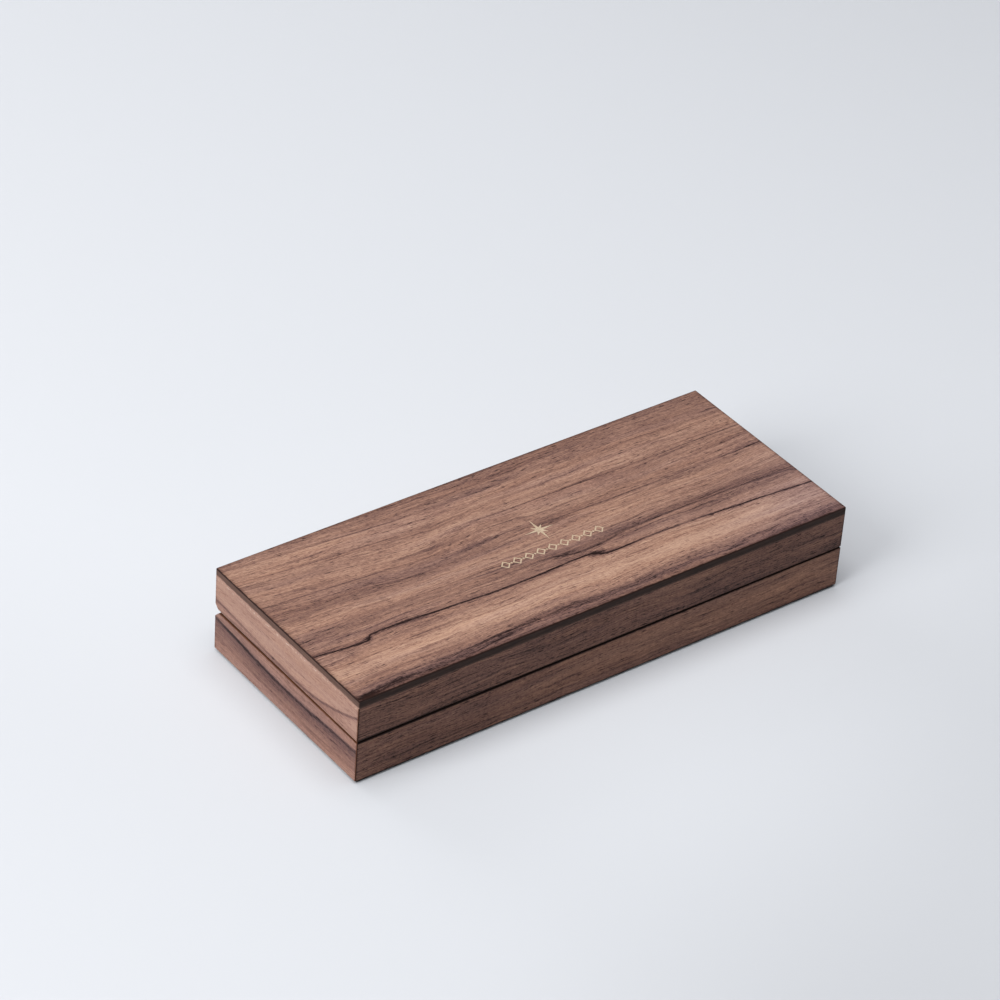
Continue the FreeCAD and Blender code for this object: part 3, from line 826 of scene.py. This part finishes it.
def swell(thing, node):
    """Blows the pad up as cloth round its filling, held at its glued back, and keeps it in its CAD space."""
    low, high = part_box(node)
    thing.data.transform(Matrix.Scale(SIM_SCALE, 4))
    held = thing.vertex_groups.new(name="glued")
    back = (high.z - 0.0006) * SIM_SCALE
    held.add([v.index for v in thing.data.vertices if v.co.z > back], 1.0, "REPLACE")
    cloth_settings = thing.modifiers.new("cloth", "CLOTH").settings
    cloth_settings.quality = 6
    cloth_settings.mass = 0.2
    cloth_settings.tension_stiffness = 8
    cloth_settings.compression_stiffness = 8
    cloth_settings.bending_stiffness = 0.05
    cloth_settings.use_pressure = True
    cloth_settings.uniform_pressure_force = 4
    cloth_settings.effector_weights.gravity = 0
    cloth_settings.shrink_min = -0.035
    cloth_settings.vertex_group_mass = "glued"
    scene.frame_start, scene.frame_end = 1, SIM_STEPS
    for number in range(1, SIM_STEPS + 1):
        scene.frame_set(number)
    evaluated = thing.evaluated_get(bpy.context.evaluated_depsgraph_get())
    settled = bpy.data.meshes.new_from_object(evaluated)
    thing.modifiers.clear()
    thing.data = settled
    settled.transform(Matrix.Scale(1 / SIM_SCALE, 4))
    for vertex in settled.vertices:
        for k in range(3):
            least, most = low[k] + LOW_MARGINS[k], high[k] - HIGH_MARGINS[k]
            vertex.co[k] = max(least, min(most, vertex.co[k]))
    scene.frame_set(1)


pad = pad_start()
swell(pad, "lid_pad")
for face in pad.data.polygons:
    face.use_smooth = True
subdivide = pad.modifiers.new("smooth", "SUBSURF")
subdivide.levels = subdivide.render_levels = 1
stands_for(pad, "lid", "satin", "lid_pad")


# ---- floor, light and camera ---------------------------------------------------------------------

FLOOR_WHITE = rgba(205, 207, 211)
AIR_COLOUR, AIR_STRENGTH = (0.95, 0.97, 1.0, 1), 0.44
# Each light's bearing from +X towards +Y and its elevation in degrees, its distance and size in metres,
# and its power in watts.
LIGHTS = {
    "side_light": (185.0, 33.0, 1.5, 0.9, 16.2),
    "back_light": (100.0, 25.0, 1.2, 0.7, 3.0),
    "top_light": (0.0, 89.9, 1.3, 1.0, 8.2),
    "high_left_light": (180.0, 65.0, 1.4, 1.0, 2.9),
}
CAMERA_PLACE = Vector((-0.66703, -0.81275, 0.79641))
CAMERA_AZIMUTH, CAMERA_ELEVATION, CAMERA_ROLL = -38.676, 35.511, 4.279
CAMERA_LENS, CAMERA_SENSOR = 144.61, 36.0


def studio_paper_with_painted_falloff():
    """White paper with a painted falloff of the light: a little greyer away from the case, in front of its
    right end and towards the front left.
    """
    s = Surface("studio_paper", Roughness=1.0, Specular_IOR_Level=0.0)
    # These darken the paper as a painted falloff of the light.
    away = s.math("SQRT", s.add(s.times(s.x, s.x), s.times(s.y, s.y)))
    corner = s.add(s.times(s.x, 0.4), s.times(s.y, -0.9))
    left = s.add(s.times(s.x, -0.7), s.times(s.y, -0.35))
    level = s.times(s.smooth(away, 50.0, 170.0, 1.0, 0.98), s.smooth(corner, 60.0, 190.0, 1.0, 0.88))
    level = s.times(level, s.smooth(left, 20.0, 110.0, 1.0, 0.95))
    s.set("Base Color", s.mix(1.0, FLOOR_WHITE, level, "MULTIPLY"))
    return s.material


def studio_bowl():
    """A floor that curves up into a wall all round, so that every view has a plain background."""
    flat, bend, wall = 1600.0, 600.0, 1600.0
    bend_steps, count = 12, 96
    profile = [(r, 0.0) for r in (200.0, 500.0, 1000.0, flat)]
    for i in range(1, bend_steps + 1):
        a = math.radians(i * 90 / bend_steps)
        profile.append((flat + bend * math.sin(a), bend - bend * math.cos(a)))
    profile.append((flat + bend, wall))
    turns = [2 * math.pi * i / count for i in range(count)]
    points = [(0.0, 0.0, 0.0)]
    for radius, height in profile:
        points += [(radius * math.cos(turn), radius * math.sin(turn), height) for turn in turns]
    faces = [(0, 1 + i, 1 + (i + 1) % count) for i in range(count)]
    for k in range(len(profile) - 1):
        for i in range(count):
            a, b = 1 + k * count + i, 1 + k * count + (i + 1) % count
            faces.append((a, a + count, b + count, b))
    thing = add_mesh("studio", points, faces, studio_paper_with_painted_falloff())


def area_light(name, bearing, elevation, distance, size, power):
    """A round soft light aimed at the case."""
    p, e = math.radians(bearing), math.radians(elevation)
    out = Vector((math.cos(p) * math.cos(e), math.sin(p) * math.cos(e), math.sin(e)))
    light = bpy.data.lights.new(name, "AREA")
    light.shape = "DISK"
    light.size = size
    light.energy = power
    thing = bpy.data.objects.new(name, light)
    thing.location = out * distance
    thing.rotation_mode = "QUATERNION"
    thing.rotation_quaternion = out.to_track_quat("Z", "Y")
    scene.collection.objects.link(thing)


def studio_air():
    """An even pale light from all round."""
    world = bpy.data.worlds.new("studio_air")
    world.use_nodes = True
    background = world.node_tree.nodes["Background"]
    background.inputs[0].default_value = AIR_COLOUR
    background.inputs[1].default_value = AIR_STRENGTH
    scene.world = world


def photo_camera():
    """The camera as it stood for the photograph."""
    angles = (CAMERA_AZIMUTH, CAMERA_ELEVATION, CAMERA_ROLL)
    azimuth, elevation, roll = map(math.radians, angles)
    level = math.cos(elevation)
    back = Vector((math.sin(azimuth) * level, -math.cos(azimuth) * level, math.sin(elevation)))
    right = (-back).cross(Vector((0, 0, 1))).normalized()
    up = back.cross(right)
    across = math.cos(roll) * right + math.sin(roll) * up
    upward = math.cos(roll) * up - math.sin(roll) * right
    turn = Matrix((across, upward, back)).transposed().to_4x4()
    camera = bpy.data.objects.new("camera", bpy.data.cameras.new("camera"))
    camera.data.sensor_width = CAMERA_SENSOR
    camera.data.lens = CAMERA_LENS
    camera.data.clip_start, camera.data.clip_end = 0.01, 20.0
    camera.matrix_world = Matrix.Translation(CAMERA_PLACE) @ turn
    scene.collection.objects.link(camera)
    scene.camera = camera


studio_bowl()
for name, settings in LIGHTS.items():
    area_light(name, *settings)
studio_air()
photo_camera()
